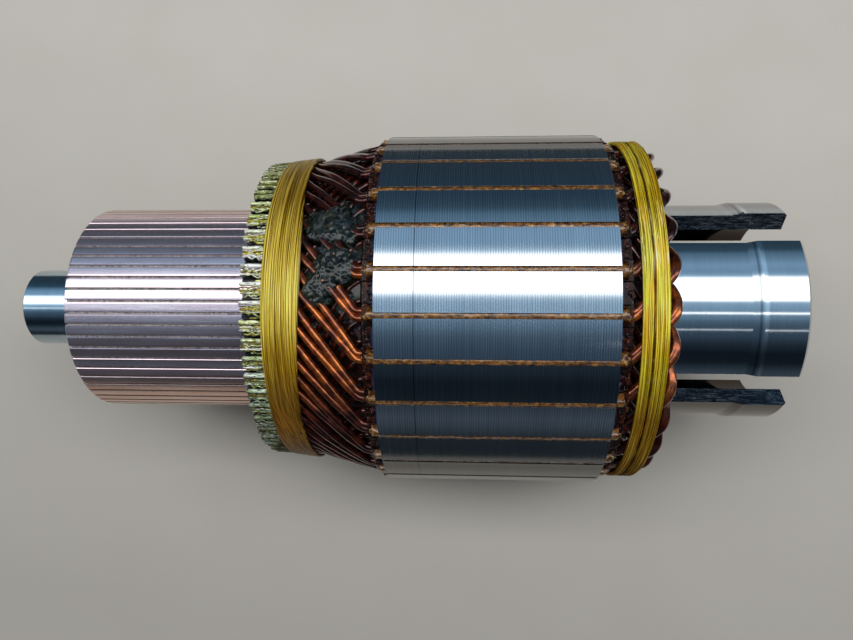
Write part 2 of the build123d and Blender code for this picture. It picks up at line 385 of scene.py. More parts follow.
def jaw_steel():
    """Turned steel, with darker and rougher milled faces on the jaws."""
    look = Look("jaw_steel_look", (0.52, 0.58, 0.62), 0.12, 1.0)
    rings = look.noise(look.around(6.0, 0.3), 1.0, 4.0, 0.7)
    broad = look.noise(look.around(0.15, 1.2), 1.0, 3.0)
    tone = look.ramp(rings, [(0.3, (0.44, 0.48, 0.51)), (0.55, (0.54, 0.58, 0.62)),
                             (0.75, (0.62, 0.66, 0.7))])
    tone = look.tint(tone, (0.38, 0.42, 0.46), broad, 0.4, 0.7, 0.0, 0.3)
    # A milled face looks neither away from the shaft nor along it.
    facing = look.node("ShaderNodeNewGeometry", output="Normal")
    outward = look.vector("NORMALIZE", look.joined(0.0, look.y, look.z))
    toward = look.absolute(look.vector("DOT_PRODUCT", facing, outward, "Value"))
    along = look.absolute(look.node("ShaderNodeSeparateXYZ", (facing,)))
    milled = look.times(look.fade(toward, 0.45, 0.6, 1.0, 0.0),
                        look.fade(along, 0.3, 0.5, 1.0, 0.0))
    marks = look.noise(look.scaled(0.25, 1.6, 1.6), 1.0, 5.0, 0.75, 1.2)
    cut = look.ramp(marks, [(0.4, (0.03, 0.04, 0.06)), (0.52, (0.13, 0.17, 0.23)),
                            (0.58, (0.55, 0.62, 0.7)), (0.64, (0.95, 0.97, 1.0))])
    # A dark line and a pale ring mark the step to the land. The pale ring is a painted highlight on
    # the fillet there.
    tone = look.tint(tone, (0.12, 0.14, 0.17), look.away(look.x, X_JAW_STEP), 0.15, 0.45, 0.6, 0.0)
    tone = look.tint(tone, (0.9, 0.93, 0.95), look.away(look.x, X_JAW_RING), 0.3, 0.9, 0.8, 0.0)
    # The tube is warm grey far round its two sides, a painted reflection of the floor, and dull and
    # brown inside its bore, as painted shade.
    tone = look.tint(tone, (0.11, 0.085, 0.065), look.absolute(look.y), 26.0, 31.0, 0.0, 0.9)
    tone = look.tint(tone, (0.05, 0.035, 0.025), look.radius, JAW_BORE + 0.35, JAW_BORE + 0.95,
                     1.0, 0.0)
    look.set("Base Color", look.mix(milled, tone, cut))
    look.set("Roughness", look.plus(look.fade(rings, 0.2, 0.8, 0.05, 0.1), look.times(milled, 0.2)))
    look.bump(look.plus(look.times(rings, 0.08), look.times(milled, marks)), 0.6, 0.12)
    return look.material


def bar_copper():
    """Turned copper, with painted reflections: lilac on top and coppery far round both sides."""
    look = Look("bar_copper_look", (0.78, 0.54, 0.52), 0.24, 0.93)
    rings = look.noise(look.around(5.0, 0.6), 1.0, 3.0, 0.6)
    streaks = look.noise(look.around(0.04, 14.0), 1.0, 3.0, 0.6)
    lilac = look.ramp(streaks, [(0.3, (0.64, 0.5, 0.54)), (0.5, (0.73, 0.6, 0.65)),
                                (0.7, (0.83, 0.73, 0.78))])
    copper = look.ramp(streaks, [(0.3, (0.72, 0.42, 0.32)), (0.5, (0.86, 0.56, 0.45)),
                                 (0.7, (0.95, 0.68, 0.57))])
    # Painted reflections: lilac for the bluish light on top, warm copper for the floor far round
    # the sides.
    tone = look.mix(look.fade(look.absolute(look.y), 23.0, 28.5), lilac, copper)
    tone = look.tint(tone, (0.6, 0.46, 0.48), rings, 0.3, 0.75, 0.0, 0.25)
    look.set("Base Color", tone)
    look.set("Roughness", look.fade(rings, 0.2, 0.8, 0.2, 0.28))
    look.bump(rings, 0.15, 0.01)
    return look.material


def tinned_riser():
    """Tinned and amber wire ends, with painted light by height and painted shade below the crowns.
    The shade of a strip picks its colour in the ramp.
    """
    look = Look("riser_look", (0.6, 0.62, 0.4), 0.24, 0.35, Coat_Weight=0.4, Coat_Roughness=0.06)
    mottle = look.noise(look.scaled(0.8, 1.6, 1.6), 1.0, 5.0, 0.7, 0.6)
    shade = look.node("ShaderNodeAttribute", (), "Fac", attribute_name="shade")
    tone = look.plus(look.times(shade, 0.9), look.times(look.math("SUBTRACT", mottle, 0.5), 1.5))
    dark = (0.006, 0.007, 0.006)
    stain = look.ramp(tone, [
        (0.0, (0.003, 0.004, 0.004)), (0.18, (0.008, 0.01, 0.008)), (0.3, (0.06, 0.045, 0.008)),
        (0.44, (0.26, 0.17, 0.012)), (0.56, (0.42, 0.38, 0.05)), (0.68, (0.38, 0.47, 0.2)),
        (0.8, (0.62, 0.75, 0.45)), (0.92, (0.95, 0.98, 0.82))])
    cracks = look.noise(look.scaled(0.45, 2.2, 2.2), 1.0, 3.0, 0.6, 1.2)
    stain = look.tint(stain, dark, cracks, 0.42, 0.48, 0.95, 0.0)
    # Painted light and shade by height in the picture.
    stain = look.with_painted_light(stain, [
        (-46, (0.26, 0.28, 0.26)), (-39, (0.33, 0.34, 0.35)), (-27, (1.1, 1.2, 1.35)),
        (-12, (1.45, 1.35, 1.0)), (3, (2.6, 2.6, 2.2)), (14, (1.7, 1.7, 1.4)),
        (22, (0.95, 0.95, 0.65)), (38, (0.6, 0.58, 0.4))])
    # Painted shade: it is dark below the crowns, in the gaps between them.
    painted_gap_shade = look.fade(look.radius, RISER_RADIUS - 1.4, RISER_RADIUS - 0.75, 1.0, 0.0)
    look.set("Base Color", look.mix(painted_gap_shade, stain, dark))
    look.set("Coat Weight", look.fade(look.y, -38.0, -22.0, 0.03, 0.4))
    look.bump(look.noise(look.scaled(1.2, 3.0, 3.0), 1.0, 4.0, 0.6), 0.9, 0.35)
    return look.material


def left_glass_band():
    """Varnished glass strands that lie askew on the lower side of the picture, browner there as
    painted shade, with painted light and a painted highlight by height.
    """
    look = Look("glass_band_look", (0.5, 0.36, 0.04), 0.3, Coat_Weight=0.05, Coat_Roughness=0.12,
                Specular_IOR_Level=0.06)
    strands = look.noise(look.around(2.9, 1.1), 1.0, 5.0, 0.75, 0.4)
    cross = look.noise(look.around(0.9, 3.2), 1.0, 3.0, 0.6, 0.8)
    tone = look.ramp(strands, [
        (0.38, (0.02, 0.01, 0.001)), (0.45, (0.17, 0.1, 0.006)), (0.52, (0.42, 0.3, 0.02)),
        (0.58, (0.62, 0.5, 0.06)), (0.66, (0.95, 0.88, 0.4))])
    tone = look.tint(tone, (0.3, 0.16, 0.008), cross, 0.5, 0.72, 0.0, 0.6)
    fine = look.noise(look.around(5.2, 0.9), 1.0, 3.0, 0.6, 0.3)
    # Painted highlight: pale yellow strands where the band faces the light.
    bright = look.times(look.fade(look.y, -22.0, -6.0), look.fade(look.y, 14.0, 34.0, 1.0, 0.3))
    bright = look.times(look.fade(fine, 0.52, 0.58, 0.0, 0.8), bright)
    tone = look.mix(bright, tone, (1.0, 0.93, 0.4))
    tone = look.tint(tone, (0.05, 0.028, 0.002), fine, 0.4, 0.46, 0.85, 0.0)
    skewed = look.plus(look.times(look.x, 2.2), look.times(look.turn, 20.0))
    skewed = look.joined(skewed, look.times(look.turn, 3.0), 0.0)
    askew_strands_in_shade = look.ramp(look.noise(skewed, 1.0, 4.0, 0.7, 0.4), [
        (0.38, (0.02, 0.008, 0.001)), (0.5, (0.11, 0.054, 0.005)), (0.62, (0.3, 0.16, 0.02))])
    # Painted shade: darker, browner askew strands on the lower side of the picture.
    tone = look.tint(tone, askew_strands_in_shade, look.y, -38.0, -16.0, 0.8, 0.0)
    # Painted light and shade by height in the picture.
    tone = look.with_painted_light(tone, [
        (-43, (1.6, 1.25, 1.1)), (-32, (0.9, 0.75, 0.9)), (-20, (1.25, 1.15, 0.7)),
        (-7, (1.6, 1.55, 0.9)), (7, (1.0, 0.89, 0.43)), (23, (0.54, 0.44, 0.2)),
        (44, (0.7, 0.6, 0.35))])
    edge = look.fade(look.x, X_LEFT_BAND_END - 0.5, X_LEFT_BAND_END, 0.0, 0.35)
    tone = look.mix(edge, tone, (0.7, 0.66, 0.5))
    # A small dark pit near the edge, as a spot of painted shade.
    along = look.math("DIVIDE", look.plus(look.x, -X_PIT), 0.35)
    across = look.math("DIVIDE", look.plus(look.turn, -PIT_TURN), 0.011)
    pit_shade = look.plus(look.times(along, along), look.times(across, across))
    tone = look.tint(tone, (0.008, 0.01, 0.018), pit_shade, 0.6, 1.2, 0.95, 0.0)
    look.set("Base Color", tone)
    look.set("Roughness", look.fade(strands, 0.3, 0.7, 0.4, 0.2))
    look.bump(strands, 0.9, 0.25)
    return look.material


def right_glass_band():
    """Varnished glass tape with amber patches, a frayed dark seam and loose white fibres, under
    painted light and shade by height: darker low, with the fibres white only in a painted
    highlight.
    """
    look = Look("tape_band_look", (0.5, 0.42, 0.04), 0.25, Coat_Weight=0.03, Coat_Roughness=0.08,
                Specular_IOR_Level=0.0)
    strands = look.noise(look.around(3.4, 1.2), 1.0, 5.0, 0.75, 0.4)
    patches = look.noise(look.around(0.3, 2.4), 1.0, 4.0, 0.65, 0.9)
    tone = look.ramp(strands, [
        (0.38, (0.02, 0.013, 0.001)), (0.45, (0.14, 0.1, 0.006)), (0.52, (0.34, 0.29, 0.015)),
        (0.58, (0.55, 0.49, 0.04)), (0.66, (0.95, 0.92, 0.5))])
    tone = look.tint(tone, (0.36, 0.17, 0.008), patches, 0.5, 0.62, 0.0, 0.8)
    # Painted shade: darker and browner low in the picture.
    tone = look.tint(tone, (0.16, 0.11, 0.015), look.y, -44.0, -18.0, 0.6, 0.0)
    fine = look.noise(look.around(5.6, 1.1), 1.0, 3.0, 0.6, 0.3)
    tone = look.tint(tone, (0.85, 0.8, 0.16), fine, 0.54, 0.6, 0.0, 0.6)
    tone = look.tint(tone, (0.05, 0.034, 0.002), fine, 0.4, 0.46, 0.8, 0.0)
    fray = look.times(look.noise(look.around(1.0, 9.0), 1.0, 3.0), 0.8)
    seam = look.plus(look.away(look.x, X_RIGHT_SEAM), fray)
    tone = look.tint(tone, (0.025, 0.01, 0.002), seam, 0.5, 0.9, 0.95, 0.0)
    fibres = look.fade(look.noise(look.around(3.0, 5.0), 1.0, 4.0, 0.7), 0.57, 0.64, 0.0, 0.6)
    # The fibres show white only in a painted highlight band by height.
    upper = look.times(look.fade(look.y, -6.0, 8.0), look.fade(look.y, 22.0, 34.0, 1.0, 0.25))
    tone = look.mix(look.times(fibres, upper), tone, (0.92, 0.9, 0.72))
    # Painted light and shade by height in the picture.
    tone = look.with_painted_light(tone, [
        (-52, (1.3, 0.9, 0.8)), (-45, (1.2, 0.85, 0.6)), (-37, (0.7, 0.48, 0.24)),
        (-20, (1.38, 1.36, 0.55)), (-7, (2.6, 2.6, 2.4)), (3, (2.4, 2.6, 2.6)),
        (11, (1.8, 1.66, 1.35)), (20, (1.04, 0.85, 0.2)), (46, (1.2, 1.15, 0.8))])
    specks = look.cells(look.around(2.0, 90.0), 1.0)
    tone = look.tint(tone, (0.95, 0.93, 0.8), specks, 0.08, 0.16, 0.35, 0.0)
    look.set("Base Color", tone)
    look.bump(look.plus(strands, look.times(patches, 0.6)), 0.9, 0.3)
    return look.material


def enamelled_wire():
    """Glossy orange enamel, with painted shade that makes it dark and reddish on the upper half of
    the picture and far down, and orange between.
    """
    look = Look("enamelled_wire_look", (0.35, 0.08, 0.02), 0.15, 0.7, Coat_Weight=0.5,
                Coat_Roughness=0.05)
    drift = look.noise(look.scaled(0.3, 0.3, 0.3), 1.0, 4.0, 0.6)
    # Painted shade: the dark tone above and far below, the lit orange tone between.
    painted_shade_share = look.plus(look.fade(look.y, -8.0, 10.0), look.fade(look.y, -38.0, -24.0, 1.0, 0.0))
    painted_lit_tone = look.ramp(drift, [(0.36, (0.09, 0.016, 0.003)), (0.48, (0.21, 0.04, 0.005)),
                             (0.6, (0.46, 0.12, 0.014))])
    painted_shaded_tone = look.ramp(drift, [(0.36, (0.016, 0.004, 0.003)), (0.52, (0.06, 0.011, 0.007)),
                             (0.66, (0.17, 0.032, 0.016))])
    look.set("Base Color", look.mix(painted_shade_share, painted_lit_tone, painted_shaded_tone))
    look.bump(look.noise(look.place, 1.2, 2.0), 0.2, 0.1)
    return look.material


def chipped_putty():
    """Hard dark resin. Every chip slopes its own way, so only some of them catch the light."""
    # The coat's blue tint paints a bluish reflection on the resin.
    look = Look("putty_look", (0.03, 0.033, 0.02), 0.12, Coat_Weight=0.7, Coat_Roughness=0.04,
                Coat_Tint=(0.55, 0.8, 1.0, 1.0), Specular_IOR_Level=0.3)
    lumps = look.noise(look.place, 0.4, 3.0, 0.6)
    bent = look.vector("ADD", look.place, look.noise(look.place, 0.7, 2.0, output="Color"))
    chips = look.cells(bent, 0.4).node
    slope = look.vector("SUBTRACT", chips.outputs["Color"], (0.5, 0.5, 0.5))
    step = look.vector("SUBTRACT", bent, chips.outputs["Position"])
    facets = look.vector("DOT_PRODUCT", slope, step, "Value")
    grit = look.noise(look.place, 1.6, 2.0, 0.5)
    look.set("Base Color", look.ramp(lumps, [
        (0.36, (0.004, 0.005, 0.003)), (0.52, (0.012, 0.013, 0.006)),
        (0.64, (0.035, 0.03, 0.01)), (0.78, (0.12, 0.07, 0.02))]))
    look.set("Roughness", look.fade(lumps, 0.4, 0.7, 0.06, 0.25))
    look.bump(look.plus(facets, look.times(grit, 0.12)), 1.0, 2.4)
    return look.material


def end_insulation():
    """Lumpy lacquer with pale specks, and a painted bluish sheen right beside the steel."""
    look = Look("end_insulation_look", (0.03, 0.012, 0.012), 0.14, Coat_Weight=0.08,
                Coat_Roughness=0.05, Specular_IOR_Level=0.12)
    lumps = look.noise(look.around(1.0, 22.0, 0.8), 1.0, 5.0, 0.65)
    tone = look.ramp(lumps, [(0.4, (0.004, 0.003, 0.004)), (0.53, (0.016, 0.006, 0.005)),
                             (0.64, (0.1, 0.022, 0.01))])
    middle = (X_CORE + X_CORE_END) / 2
    # Painted bluish sheen beside the steel, at both ends of the core.
    reach = look.math("SUBTRACT", look.away(look.x, middle), X_CORE_END - middle)
    tone = look.tint(tone, (0.035, 0.035, 0.09), reach, 0.5, 1.1, 0.8, 0.0)
    specks = look.cells(look.place, 1.5)
    tone = look.tint(tone, (0.75, 0.72, 0.72), specks, 0.06, 0.12, 0.8, 0.0)
    look.set("Base Color", tone)
    look.bump(lumps, 0.7, 0.5)
    return look.material


def mottled(name, base, rough, metal, coat, stretch, grain, stops, relief=None):
    """A surface whose colour and relief follow one noise. The coat is a weight and a roughness,
    the grain is the noise's scale and detail, and the relief is a strength and a distance."""
    look = Look(name, base, rough, metal, Coat_Weight=coat[0], Coat_Roughness=coat[1])
    pattern = look.noise(look.scaled(*stretch), *grain)
    look.set("Base Color", look.ramp(pattern, stops))
    if relief:
        look.bump(pattern, *relief)
    return look.material


def plain_floor():
    """Pale grey, with painted shade: darker towards the bottom and the left of the picture."""
    look = Look("floor_look", (0.56, 0.53, 0.48), 0.85)
    grain = look.noise(look.scaled(0.03, 0.03, 0.03), 1.0, 4.0)
    pale = look.mix(grain, (0.54, 0.515, 0.47), (0.58, 0.565, 0.52))
    grey = look.mix(grain, (0.36, 0.345, 0.31), (0.39, 0.375, 0.34))
    # Painted shade: the floor darkens towards the bottom and the left of the picture.
    height = look.plus(look.y, look.times(look.x, 0.15))
    look.set("Base Color", look.mix(look.fade(height, -130.0, 120.0), grey, pale))
    return look.material


EVEN = (1.0, 1.0, 1.0)
UNCOATED = (0.0, 0.03)
LOOKS = {
    "core": turned_steel("core_laminations_look", (0.6, 0.64, 0.68), (0.42, 0.46, 0.5), 0.12, 5.0,
                         X_CORE_JOINT, LAMINATION),
    "shaft": turned_steel("ground_shaft_look", (0.5, 0.6, 0.66), (0.38, 0.46, 0.52), 0.13, 7.0),
    "jaw": jaw_steel(),
    "bars": bar_copper(),
    "risers": tinned_riser(),
    "left_band": left_glass_band(),
    "right_band": right_glass_band(),
    "wire": enamelled_wire(),
    "putty": chipped_putty(),
    "insulation": end_insulation(),
    "floor": plain_floor(),
    "mica": mottled(
        "mica_look", (0.4, 0.38, 0.34), 0.6, 0.0, UNCOATED, (1.5, 1.5, 1.5), (1.0, 4.0),
        [(0.35, (0.1, 0.1, 0.12)), (0.65, (0.45, 0.43, 0.4))]),
    "hub": mottled(
        "hub_moulding_look", (0.06, 0.05, 0.045), 0.45, 0.0, UNCOATED, EVEN, (2.0, 5.0),
        [(0.35, (0.03, 0.025, 0.022)), (0.7, (0.1, 0.08, 0.065))], (0.4, 0.08)),
    "varnish": mottled(
        "coil_varnish_look", (0.01, 0.005, 0.004), 0.12, 0.0, (1.0, 0.04), EVEN, (0.8, 4.0, 0.55),
        [(0.35, (0.003, 0.002, 0.002)), (0.65, (0.02, 0.005, 0.004))], (0.8, 0.6)),
    # The lower layers' wires are the enamelled wire painted much darker, as painted shade under the
    # top layer.
    "shaded_deep_wire": mottled(
        "shaded_deep_wire_look", (0.1, 0.02, 0.012), 0.2, 0.6, (1.0, 0.05), (0.5, 0.5, 0.5),
        (1.0, 4.0, 0.6), [(0.4, (0.012, 0.003, 0.002)), (0.7, (0.14, 0.022, 0.01))], (0.5, 0.3)),
    "strip": mottled(
        "slot_strip_look", (0.36, 0.2, 0.12), 0.3, 0.0, (1.0, 0.12), (0.9, 1.3, 1.3),
        (1.0, 5.0, 0.7, 0.5),
        [(0.36, (0.02, 0.009, 0.005)), (0.44, (0.07, 0.028, 0.01)), (0.52, (0.18, 0.075, 0.012)),
         (0.6, (0.32, 0.14, 0.014)), (0.72, (0.5, 0.36, 0.18))], (0.6, 0.2)),
    "liner": mottled(
        "liner_look", (0.6, 0.3, 0.05), 0.22, 0.0, (0.8, 0.1), EVEN, (0.9, 4.0, 0.6),
        [(0.36, (0.01, 0.004, 0.002)), (0.48, (0.1, 0.038, 0.005)), (0.58, (0.26, 0.13, 0.015)),
         (0.7, (0.62, 0.52, 0.28))], (0.8, 0.5)),
}


# Pieces

def bar_section(station, shrink, centre):
    """The outline of a copper bar at a station. It shrinks at the bar's nose, and its two long
    edges are cut off."""
    half_gap = 0.3
    edge = 0.16
    bevel = 0.02
    half_pitch = radians(BAR_PITCH / 2)
    top = BAR_RADIUS - shrink
    reach = degrees(half_pitch - half_gap / top)
    side = degrees(half_pitch - half_gap / BAR_ROOT)
    low = reach - degrees(bevel / top)
    inner = reach - degrees(edge / top)
    row = [at(station, BAR_ROOT, centre - side), at(station, top - edge, centre - low)]
    for i in range(7):
        t = -1 + i / 3
        row.append(at(station, top - (0.0 if abs(t) < 1 else bevel), centre + t * inner))
    return row + [at(station, top - edge, centre + low), at(station, BAR_ROOT, centre + side)]


def make_bars():
    """Copper bars with rounded noses at their open end."""
    batch = Batch()
    nose = [(X_BAR, 0.7), (X_BAR + 0.1, 0.3), (X_BAR + 0.35, 0.06), (X_BAR + 0.7, 0.0),
            (X_RISER - 0.4, 0.0), (X_RISER, 0.0)]
    for k in range(BARS):
        centre = GROOVE_ANGLE + (k + 0.5) * BAR_PITCH
        rows = [bar_section(station, shrink, centre) for station, shrink in nose]
        batch.bar(rows, random.random())
    batch.piece("copper_bars", "bars", ["commutator_bars"], smooth=False)


def riser_strip(batch, start, end, low, high, angle, width, shade, seed, waviness):
    """A thin bar along the shaft with a wavy crown, as a fin or a wire end in a riser."""
    steps = 10
    outline = ((-0.5, 0.0), (-0.5, 0.97), (-0.3, 0.995), (0.0, 1.0), (0.3, 0.995), (0.5, 0.97),
               (0.5, 0.0))
    rows = []
    for i in range(steps + 1):
        x = start + (end - start) * i / steps
        sway = waviness * wander(x * 0.9, seed)
        lift = 0.24 * wander(x * 0.9, seed + 7.7)
        w = width * (0.95 + 0.3 * wander(x * 0.8, seed + 3.1))
        if i == 0:
            w *= 0.8
        row = []
        for u, v in outline:
            r = low + (high + lift - low) * v
            row.append(at(x, r, angle + degrees((u * w + sway) / r)))
        rows.append(row)
    batch.bar(rows, shade)


def make_risers():
    """Riser flags, each with tinned fins, amber wire ends and loose strands beside a dark gap."""
    flags = Batch()
    for k in range(BARS):
        centre = GROOVE_ANGLE + (k + 0.5) * BAR_PITCH
        foot, top = degrees(0.75 / BAR_ROOT), degrees(1.15 / (RISER_RADIUS - 1.0))
        rows = []
        for x in (X_RISER, X_LEFT_BAND):
            rows.append([at(x, BAR_ROOT, centre - foot), at(x, BAR_ROOT, centre + foot),
                         at(x, RISER_RADIUS - 1.0, centre + top),
                         at(x, RISER_RADIUS - 1.0, centre - top)])
        flags.bar(rows, random.random())
    flags.piece("riser_flags", "bars", ["commutator_risers"], smooth=False)
    batch = Batch()
    # Each strip has its place from the groove in riser pitches, its width, the drop of its crown
    # below the risers' radius, its waviness and its range of shades.
    # The first three strips lie deep in the gap with shades near 0: nearly black, as painted shade.
    strips = [
        (0.0, 1.2, 2.8, 0.1, 0.0, 0.04), (0.12, 0.5, 2.1, 0.2, 0.0, 0.1),
        (-0.12, 0.4, 2.0, 0.2, 0.0, 0.1), (0.29, 1.15, 0.15, 0.08, 0.8, 1.05),
        (0.46, 0.45, 0.6, 0.25, 0.25, 0.42), (0.6, 0.85, 0.35, 0.3, 0.4, 0.65),
        (0.77, 0.6, 0.2, 0.35, 0.85, 1.05),
    ]
    strip_foot, tail_foot = 37.0, 44.0
    end = X_LEFT_BAND + 0.3
    for k in range(BARS):
        groove = GROOVE_ANGLE + k * BAR_PITCH
        for place, width, drop, waviness, dark, bright in strips:
            angle = groove + place * BAR_PITCH + random.uniform(-0.12, 0.12)
            high = RISER_RADIUS - drop + random.uniform(-0.15, 0.1)
            riser_strip(batch, X_RISER + random.uniform(-0.25, 0.3), end, strip_foot, high, angle,
                        width, random.uniform(dark, bright), random.uniform(0, 90), waviness)
        # A wire's flattened end runs from the band over the gap.
        riser_strip(batch, X_LEFT_BAND - random.uniform(0.8, 3.4), end, tail_foot,
                    RISER_RADIUS - random.uniform(0.6, 1.3),
                    groove + random.uniform(-0.1, 0.12) * BAR_PITCH, random.uniform(0.3, 0.6),
                    random.uniform(0.5, 1.0), random.uniform(0, 90), 0.3)
        for place in (-0.1, 0.52, 0.7):
            seed = random.uniform(0, 90)
            first = X_RISER + random.uniform(0.0, 2.5)
            path = []
            for i in range(11):
                x = first + (X_LEFT_BAND + 0.4 - first) * i / 10
                angle = groove + (place + 0.2 * wander(x * 0.9, seed)) * BAR_PITCH
                lift = 0.25 * wander(x * 0.8, seed + 4)
                path.append(at(x, RISER_RADIUS - 0.35 + lift + 0.03 * i, angle))
            batch.tube(path, random.uniform(0.14, 0.26), 6, random.uniform(0.5, 1.05))
    batch.piece("riser_wire_ends", "risers")


def make_band(name, node, start, end, start_radius, end_radius, thickness, groups, seam=None,
              narrowing=0.0):
    """A glass band as a turned body whose outside is wound from strands. The narrowing is how much
    narrower it is on its sides than on top."""
    across = 64

    def outline(i, angle):
        row = []
        a = radians(angle)
        cx, cy = 3 * cos(a), 3 * sin(a)
        side = smooth_step(abs(cos(a)))
        for j in range(across + 1):
            t = j / across
            x = start + (end - start - narrowing * side) * t
            edge = min(t, 1 - t) * (end - start)
            drift = 0.35 * wander(cx, cy, 0.3) + 0.12 * wander(cx * 4, cy * 4, x * 0.4)
            lean = 0.5 * wander(cx * 0.8 + 9, cy * 0.8, x * 0.15)
            strand = abs(sin(pi * (t * groups + drift)))
            fine = abs(sin(pi * (t * groups * 2.6 + lean * 3)))
            height = 0.14 * strand + 0.08 * fine + 0.1 * wander(cx * 2, cy * 2, x * 0.8) - 0.2
            if edge < 0.5:
                height -= 0.35 * (1 - edge / 0.5) ** 2
            if seam is not None:
                height -= 0.4 * exp(-((x - seam) / 0.18) ** 2)
            row.append(at(x, start_radius + (end_radius - start_radius) * t + height, angle))
        row.append(at(x, end_radius - thickness, angle))
        row.append(at(start, start_radius - thickness, angle))
        return row

    batch = Batch()
    batch.ring(outline, 540)
    batch.piece(name, node, [node])


def top_layer_radius(x):
    """The radius of a top wire's middle over the left end winding."""
    if x <= X_LEFT_BAND_END:
        return TOP_LAYER_START + (x - X_LEFT_BAND_END) * 0.09
    climb = (TOP_LAYER_END - TOP_LAYER_START) * (x - X_LEFT_BAND_END)
    return TOP_LAYER_START + climb / (X_LEFT_INSULATION - X_LEFT_BAND_END)


def top_wire_angle(x, first, last):
    """The angle of a top wire: a straight slant from the band that bends into its slot."""
    t = (x - X_LEFT_BAND_END + 1.4) / (X_LEFT_INSULATION - X_LEFT_BAND_END - 0.6)
    soft = 0.05
    if t > 1 - soft:
        t = min(t, 1 + soft)
        t = 1 - (1 + soft - t) ** 2 / (4 * soft)
    return first + (last - first) * max(t, -0.2)


def top_wire_ends():
    """The angles of every top wire at the band and at its slot, and its side of the slot."""
    ends = []
    for k in range(SLOTS):
        pair_angle = GROOVE_ANGLE + (2 * k + 1) * BAR_PITCH
        nearest = round((pair_angle - SLOT_ANGLE) / SLOT_PITCH)
        exit_angle = SLOT_ANGLE + (nearest + 2) * SLOT_PITCH
        for side in (-1, 1):
            ends.append((pair_angle + side * BAR_PITCH / 2, exit_angle + side * 1.05, side))
    return ends


def make_top_wires():
    """Round enamelled wires that slant between the left band and the slots, two to a slot."""
    batch = Batch()
    steps = 40
    start = X_LEFT_BAND_END - 4.0
    end = X_CORE + 1.5
    for first, last, side in top_wire_ends():
        seed = random.uniform(0, 50)
        path = []
        for i in range(steps + 1):
            x = start + (end - start) * i / steps
            t = limited((x - X_LEFT_BAND_END) / (X_LEFT_INSULATION - X_LEFT_BAND_END))
            angle = top_wire_angle(x, first, last)
            r = top_layer_radius(min(x, X_LEFT_INSULATION)) + 0.2 * wander(x * 0.2, seed)
            # The two wires of a pair don't lie equally high.
            r += (0.35 if side > 0 else 0.0) * sin(pi * t) + 0.1
            path.append(at(x, r, angle + 0.5 * wander(x * 0.12, seed + 5) * sin(pi * t)))
        batch.tube(path, TOP_WIRE, 12, random.random())
    batch.piece("top_wires_round", "wire", ["left_top_wires"])


def make_deep_left():
    """The lower layer of the left end winding: a dark body with wires that cross the other way."""
    end = X_LEFT_INSULATION - 0.1

    def outline(i, angle):
        row = []
        for step in range(28):
            x = X_LEFT_BAND + 0.4 + step
            r = top_layer_radius(max(x, X_LEFT_BAND)) - 3.1 + 0.5 * wander(x * 0.5, i * 0.35)
            row.append(at(min(x, end), r, angle))
        return row + [at(end, COIL_HEAD_BORE, angle), at(X_LEFT_BAND + 0.4, COIL_HEAD_BORE, angle)]

    body = Batch()
    body.ring(outline, 240)
    body.piece("coil_head_body", "varnish", ["left_coil_bed"])
    wires = Batch()
    for k in range(BARS):
        first = GROOVE_ANGLE + k * BAR_PITCH
        seed = random.uniform(0, 50)
        path = []
        for i in range(19):
            x = X_LEFT_BAND_END - 3 + 20.0 * i / 18
            r = top_layer_radius(min(x, X_LEFT_INSULATION)) - 2.35 + 0.3 * wander(x * 0.3, seed)
            path.append(at(x, r, first - 24.0 * smooth_step((x - X_LEFT_BAND_END + 4) / 22)))
        wires.tube(path, LEFT_DEEP_WIRE, 8, random.random())
    wires.piece("deep_wires", "shaded_deep_wire")


def make_putty():
    """Lumps of hard putty over the wires. Some of the wires stay free across them."""
    batch = Batch()
    # Each lobe has its station, its angle, its half sizes along and round the shaft, and its
    # height over the wires.
    lobes = [(-11.6, 73.4, 7.2, 6.6, 1.5), (-16.0, 71.0, 3.4, 4.0, 0.9),
             (-9.6, 87.6, 6.4, 6.8, 1.35), (-13.2, 94.4, 4.8, 6.4, 1.15),
             (-5.6, 76.4, 2.4, 5.0, 0.9)]
    free = [(first, last) for first, last, side in top_wire_ends()
            if side < 0 and 77.0 < top_wire_angle(-9.0, first, last) < 98.0]
    columns = 120
    lines = 110
    rows = []
    for i in range(lines + 1):
        x = X_LEFT_BAND_END + 0.1 + 16.4 * i / lines
        row = []
        for j in range(columns + 1):
            angle = 62.0 + 42.0 * j / columns
            height = -1.0
            for station, middle, half_length, half_width, top in lobes:
                d = ((x - station) / half_length) ** 2 + ((angle - middle) / half_width) ** 2
                d *= 1 + 0.45 * wander(x * 0.3, angle * 0.22, middle)
                if d < 1:
                    height = max(height, top * (1 - d ** 1.6) ** 0.5 - 0.1)
            rough = (0.4 * abs(wander(x * 0.45, angle * 0.4))
                     + 0.25 * wander(x * 0.9, angle * 0.7, 4.0))
            r = top_layer_radius(x) + 1.0
            if height < 0:
                r -= 3.0
            else:
                r += height + rough - 0.5
                for first, last in free:
                    away = abs(angle - top_wire_angle(x, first, last)) * radians(1) * r
                    if away < 1.5:
                        r = min(r, top_layer_radius(x) + 0.15 + 0.55 * max(away - 0.8, 0.0))
            row.append(at(x, r, angle))
        rows.append(row)
    batch.grid(rows)
    batch.grid([[p - away_from_shaft(p) * 0.6 for p in reversed(row)] for row in rows])
    batch.piece("putty_lobes", "putty", ["balancing_putty"])


